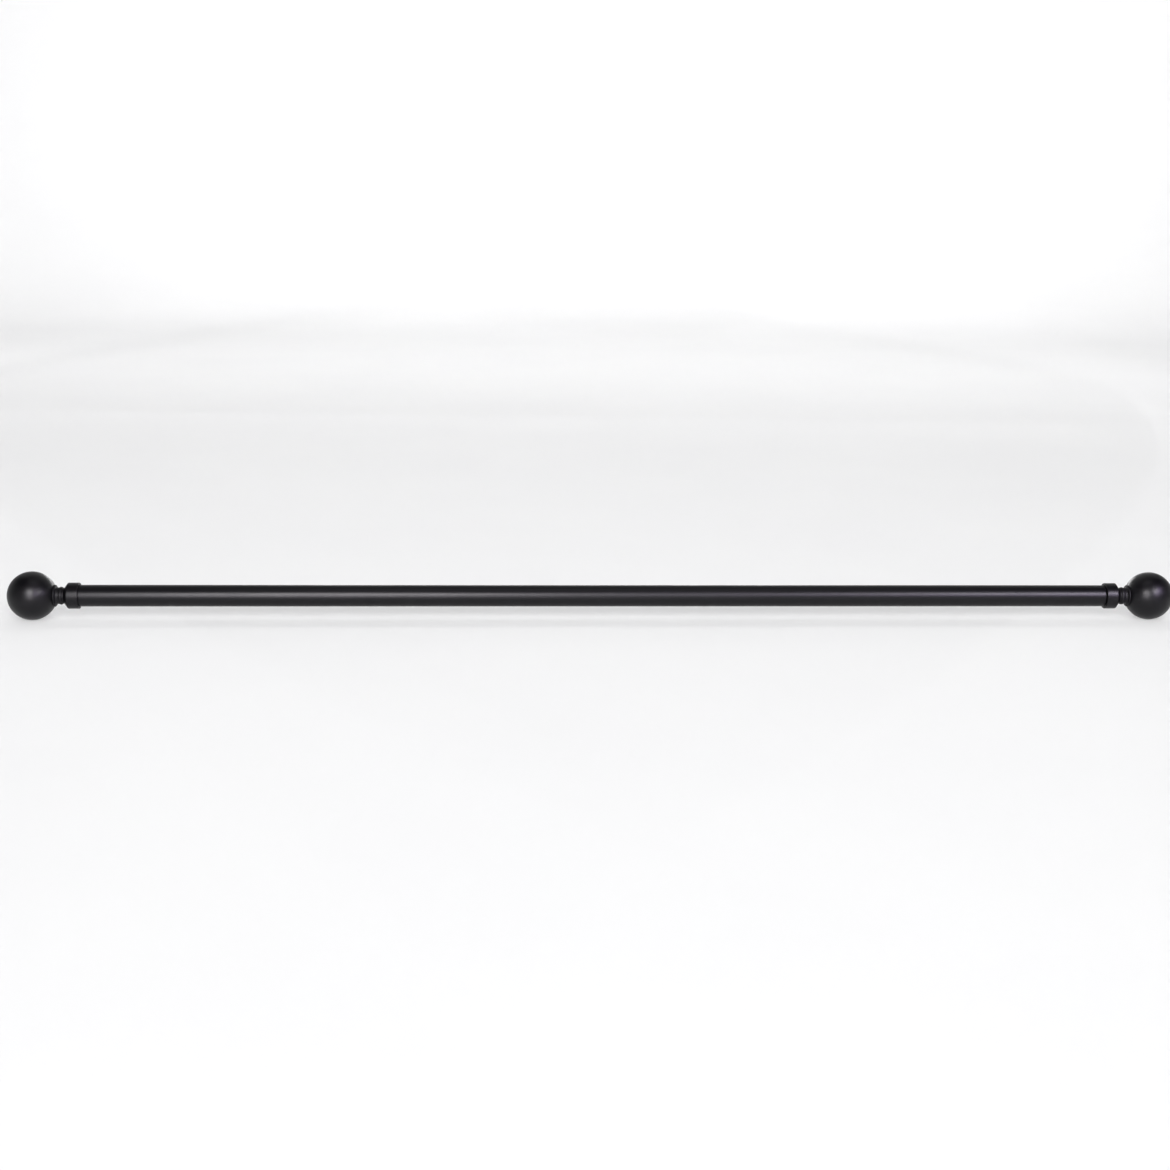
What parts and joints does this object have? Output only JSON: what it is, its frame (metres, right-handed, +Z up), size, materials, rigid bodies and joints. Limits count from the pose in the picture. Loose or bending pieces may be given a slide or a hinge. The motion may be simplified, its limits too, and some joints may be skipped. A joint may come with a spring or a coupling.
{
  "type": "curtain rod",
  "caption": "Straight black metal curtain rod of telescoping round tubes, with a turned collar, neck and ball finial screwed on at each end.",
  "frame": {"origin": "centre of the whole rod, on its axis, with the tubes fully closed", "axes": "+X along the rod, from the wide tube's finial towards the narrow tube's finial; +Z up as it hangs in its brackets"},
  "size_m": [1.3894, 0.057, 0.057],
  "materials": {
    "powder_coat": "satin black powder coat with a very fine grain",
    "zinc_steel": "bright zinc plate on turned and rolled steel",
    "nylon": "matt black moulded nylon"
  },
  "bodies": {
    "outer": {"outer_tube": "powder_coat", "outer_tube_mouth_bush": "nylon", "left_end_plug": "nylon", "left_plug_nut": "zinc_steel"},
    "inner": {"inner_tube": "powder_coat", "inner_tube_guide_bush": "nylon", "right_end_plug": "nylon", "right_plug_nut": "zinc_steel", "right_collar_reducer": "nylon"},
    "left_cap": {"left_collar": "powder_coat"},
    "left_finial": {"left_neck": "powder_coat", "left_ball": "powder_coat", "left_stud": "zinc_steel", "left_ball_insert": "zinc_steel", "left_lock_nut": "zinc_steel"},
    "right_cap": {"right_collar": "powder_coat"},
    "right_finial": {"right_neck": "powder_coat", "right_ball": "powder_coat", "right_stud": "zinc_steel", "right_ball_insert": "zinc_steel", "right_lock_nut": "zinc_steel"}
  },
  "joints": [
    {"name": "length_slide", "type": "slide", "parent": "outer", "child": "inner", "axis": [1, 0, 0], "range_m": [0, 0.9144]},
    {"name": "left_collar_travel", "type": "slide", "parent": "outer", "child": "left_cap", "axis": [-1, 0, 0], "range_m": [0, 0.01]},
    {"name": "left_finial_turn", "type": "hinge", "parent": "left_cap", "child": "left_finial", "pos_m": [-0.6112, 0, 0], "axis": [-1, 0, 0], "range_deg": [0, 2880]},
    {"name": "right_collar_travel", "type": "slide", "parent": "inner", "child": "right_cap", "axis": [1, 0, 0], "range_m": [0, 0.01]},
    {"name": "right_finial_turn", "type": "hinge", "parent": "right_cap", "child": "right_finial", "pos_m": [0.6112, 0, 0], "axis": [1, 0, 0], "range_deg": [0, 2880]}
  ],
  "couplings": [
    {"joint": "left_collar_travel", "follows": "left_finial_turn", "m_per_rad": 0.00019894},
    {"joint": "right_collar_travel", "follows": "right_finial_turn", "m_per_rad": 0.00019894}
  ]
}
